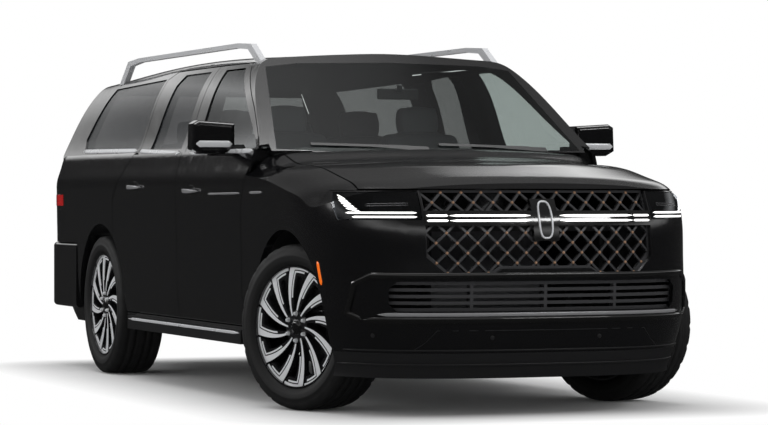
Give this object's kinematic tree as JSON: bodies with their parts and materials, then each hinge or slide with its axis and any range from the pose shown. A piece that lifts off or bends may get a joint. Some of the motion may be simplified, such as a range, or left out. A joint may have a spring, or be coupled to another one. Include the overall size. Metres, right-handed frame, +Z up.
{
  "type": "full-size sport utility vehicle",
  "caption": "Full-size four-door sport utility vehicle with opening doors, hood, split tailgate, steered front wheels and a three-row cabin.",
  "frame": {"origin": "on the ground below the middle of the vehicle's outer box", "axes": "+X forward along the vehicle, +Y to its left, +Z up"},
  "size_m": [5.6395, 2.452, 1.925],
  "materials": {
    "paint": "gloss black clear coat",
    "gloss_trim": "gloss black",
    "dark_trim": "satin dark grey",
    "bright_trim": "satin bright",
    "dark_grille": "dark chrome",
    "lamp": "smoked lens",
    "tail_lamp": "red lens",
    "glass": "clear tinted",
    "privacy_glass": "dark privacy tint",
    "tyre": "rubber",
    "rim": "machined with dark pockets",
    "chassis": "black coated steel",
    "engine": "cast metal",
    "exhaust": "steel",
    "interior": "dark soft trim",
    "seat_leather": "dark leather"
  },
  "bodies": {
    "body": {"body_shell": "paint", "front_fenders": "paint", "front_bumper": "paint", "front_valance": "dark_trim", "intake_slats": "gloss_trim", "grille": "dark_grille", "light_bar": "bright_trim", "headlamps": "lamp", "front_structure": "chassis", "windscreen": "glass", "quarter_glass": "privacy_glass", "roof_rails": "bright_trim", "running_boards": "dark_trim", "rear_bumper": "paint", "tail_lamps": "tail_lamp", "dashboard_and_console": "interior", "front_seats": "seat_leather", "second_row_seats": "seat_leather", "third_row_seat": "seat_leather", "engine_and_gearbox": "engine", "driveline_and_exhaust": "exhaust", "front_suspension": "chassis", "rear_suspension": "chassis", "spare_wheel": "tyre", "wipers": "dark_trim", "chassis_frame": "chassis"},
    "hood_lid": {"hood": "paint"},
    "liftgate_lid": {"liftgate": "paint", "liftgate_glass": "privacy_glass", "liftgate_lamp": "tail_lamp"},
    "drop_gate": {"drop_tailgate": "paint"},
    "steering_column": {"steering_wheel": "interior"},
    "front_door_left_leaf": {"front_door_left": "paint", "front_door_glass_left": "glass"},
    "front_wheel_left": {"wheel_front_left": "rim", "tyre_front_left": "tyre"},
    "rear_door_left_leaf": {"rear_door_left": "paint", "rear_door_glass_left": "privacy_glass"},
    "rear_wheel_left": {"wheel_rear_left": "rim", "tyre_rear_left": "tyre"},
    "steered_left": {"knuckle_left": "chassis"},
    "front_door_right_leaf": {"front_door_right": "paint", "front_door_glass_right": "glass"},
    "front_wheel_right": {"wheel_front_right": "rim", "tyre_front_right": "tyre"},
    "rear_door_right_leaf": {"rear_door_right": "paint", "rear_door_glass_right": "privacy_glass"},
    "rear_wheel_right": {"wheel_rear_right": "rim", "tyre_rear_right": "tyre"},
    "steered_right": {"knuckle_right": "chassis"}
  },
  "joints": [
    {"name": "hood_hinge", "type": "hinge", "parent": "body", "child": "hood_lid", "pos_m": [1.313, 0, 1.246], "axis": [0, -1, 0], "range_deg": [0, 50]},
    {"name": "front_door_left_hinge", "type": "hinge", "parent": "body", "child": "front_door_left_leaf", "pos_m": [1.292, 1, 0.9], "axis": [0, 0, -1], "range_deg": [0, 65]},
    {"name": "rear_door_left_hinge", "type": "hinge", "parent": "body", "child": "rear_door_left_leaf", "pos_m": [0.033, 1.0155, 0.9], "axis": [0, 0, -1], "range_deg": [0, 70]},
    {"name": "front_door_right_hinge", "type": "hinge", "parent": "body", "child": "front_door_right_leaf", "pos_m": [1.292, -1, 0.9], "axis": [0, 0, 1], "range_deg": [0, 65]},
    {"name": "rear_door_right_hinge", "type": "hinge", "parent": "body", "child": "rear_door_right_leaf", "pos_m": [0.033, -1.0155, 0.9], "axis": [0, 0, 1], "range_deg": [0, 70]},
    {"name": "liftgate_hinge", "type": "hinge", "parent": "body", "child": "liftgate_lid", "pos_m": [-2.483, 0, 1.811], "axis": [0, 1, 0], "range_deg": [0, 80]},
    {"name": "drop_gate_hinge", "type": "hinge", "parent": "body", "child": "drop_gate", "pos_m": [-2.757, 0, 0.798], "axis": [0, -1, 0], "range_deg": [0, 90]},
    {"name": "steer_left", "type": "hinge", "parent": "body", "child": "steered_left", "pos_m": [1.833, 0.79, 0.419], "axis": [0, 0, 1], "range_deg": [-56, 14]},
    {"name": "front_wheel_left_spin", "type": "hinge", "parent": "steered_left", "child": "front_wheel_left", "pos_m": [1.80791, 0.85535, 0.419], "axis": [-0.3584, 0.9336, 0], "continuous": true},
    {"name": "rear_wheel_left_spin", "type": "hinge", "parent": "body", "child": "rear_wheel_left", "pos_m": [-1.51, 0.86, 0.419], "axis": [0, 1, 0], "continuous": true},
    {"name": "steer_right", "type": "hinge", "parent": "body", "child": "steered_right", "pos_m": [1.833, -0.79, 0.419], "axis": [0, 0, 1], "range_deg": [-56, 14]},
    {"name": "front_wheel_right_spin", "type": "hinge", "parent": "steered_right", "child": "front_wheel_right", "pos_m": [1.85809, -0.85535, 0.419], "axis": [-0.3584, 0.9336, 0], "continuous": true},
    {"name": "rear_wheel_right_spin", "type": "hinge", "parent": "body", "child": "rear_wheel_right", "pos_m": [-1.51, -0.86, 0.419], "axis": [0, 1, 0], "continuous": true},
    {"name": "steering_wheel_turn", "type": "hinge", "parent": "body", "child": "steering_column", "pos_m": [0.733, 0.4, 1.085], "axis": [-0.9135, 0, 0.4067], "range_deg": [-790, 202]}
  ],
  "couplings": [
    {"joint": "steer_right", "follows": "steer_left", "ratio": 1},
    {"joint": "steering_wheel_turn", "follows": "steer_left", "ratio": 14}
  ]
}
